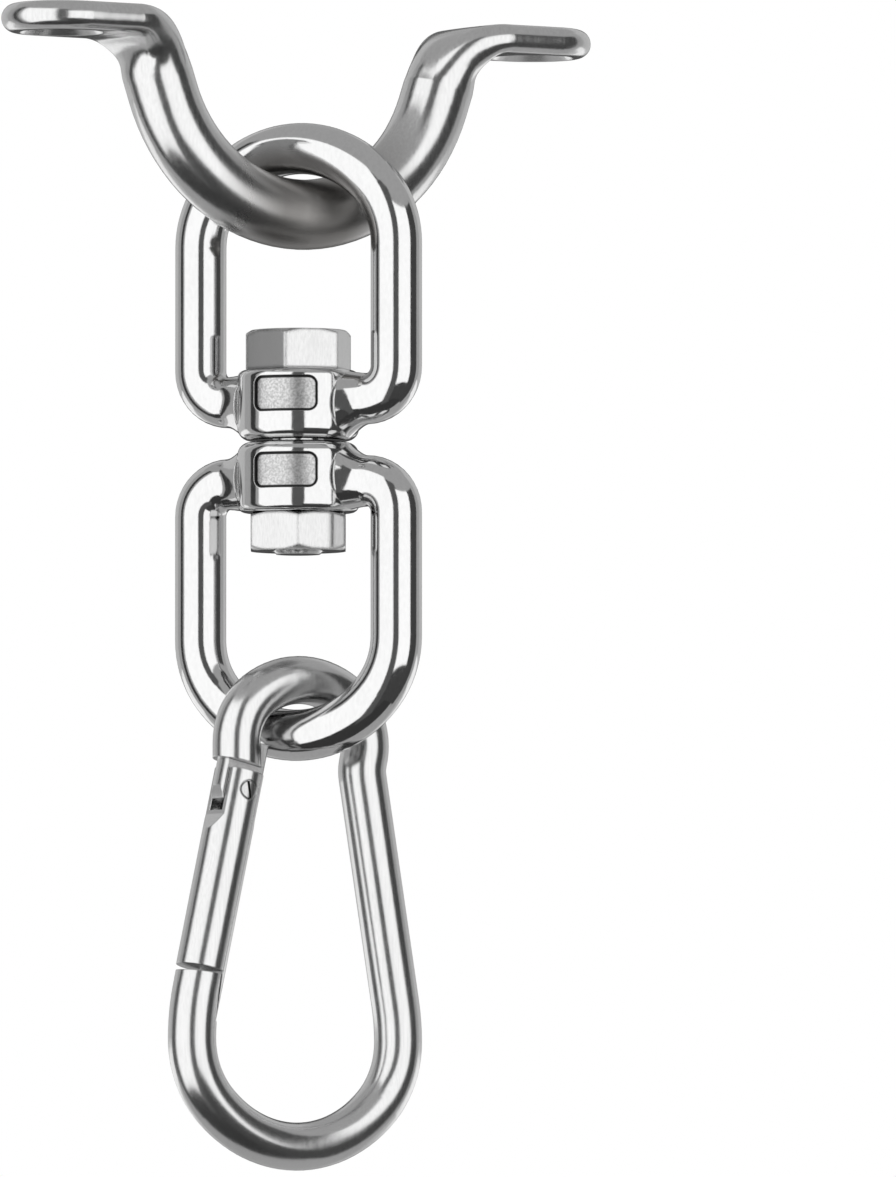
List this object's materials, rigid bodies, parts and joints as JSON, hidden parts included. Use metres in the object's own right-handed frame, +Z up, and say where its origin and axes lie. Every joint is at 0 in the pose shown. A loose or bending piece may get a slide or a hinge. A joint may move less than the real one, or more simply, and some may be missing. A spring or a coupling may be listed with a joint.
{
  "type": "punching bag hook",
  "caption": "Ceiling bracket with an eye-to-eye swivel and a snap hook with a sprung gate, for hanging a punching bag.",
  "frame": {"origin": "on the ceiling face of the bracket's ears, midway between the centres of the two ear holes", "axes": "+Z up into the ceiling, +X from the left ear hole to the right one, +Y away from the viewer; everything hangs down along -Z"},
  "size_m": [0.1074, 0.0374, 0.1805],
  "materials": {
    "forged_bracket": "forged stainless steel, polished bright",
    "cast_eye": "cast stainless steel, mirror polished",
    "hex_fastener": "stainless steel, turned and polished",
    "hook_rod": "drawn stainless rod, soft polish",
    "rivet_steel": "stainless steel, turned",
    "spring_wire": "hard drawn spring wire"
  },
  "bodies": {
    "bracket": {"ceiling_bracket": "forged_bracket"},
    "upper_swivel": {"upper_eye": "cast_eye"},
    "bolt": {"swivel_bolt": "hex_fastener", "swivel_nut": "hex_fastener"},
    "lower_swivel": {"lower_eye": "cast_eye"},
    "snap_hook": {"hook_body": "hook_rod"},
    "gate": {"gate": "hook_rod", "gate_pivot_pin": "rivet_steel", "gate_spring": "spring_wire"},
    "plunger": {"gate_plunger": "rivet_steel"}
  },
  "joints": [
    {"name": "eye_swing", "type": "hinge", "parent": "bracket", "child": "upper_swivel", "pos_m": [0, 0, -0.031], "axis": [1, 0, 0], "range_deg": [-75, 75]},
    {"name": "bolt_spin", "type": "hinge", "parent": "upper_swivel", "child": "bolt", "pos_m": [0, 0, -0.0666], "axis": [0, 0, 1], "continuous": true},
    {"name": "swivel_spin", "type": "hinge", "parent": "bolt", "child": "lower_swivel", "pos_m": [0, 0, -0.0666], "axis": [0, 0, 1], "continuous": true},
    {"name": "hook_swing", "type": "hinge", "parent": "lower_swivel", "child": "snap_hook", "pos_m": [0, 0, -0.1125], "axis": [0.5, -0.866, 0], "range_deg": [-60, 60]},
    {"name": "gate_hinge", "type": "hinge", "parent": "snap_hook", "child": "gate", "pos_m": [-0.01176, 0, -0.12139], "axis": [0, -1, 0], "range_deg": [0, 25], "stiffness_Nm_per_rad": 0.1, "springref_deg": -45.84},
    {"name": "plunger_slide", "type": "slide", "parent": "gate", "child": "plunger", "axis": [-0.2284, 0, -0.9736], "range_m": [0, 0.0008], "deforming": ["gate_spring"]}
  ],
  "couplings": [
    {"joint": "plunger_slide", "follows": "gate_hinge", "m_per_rad": 0.00172}
  ]
}
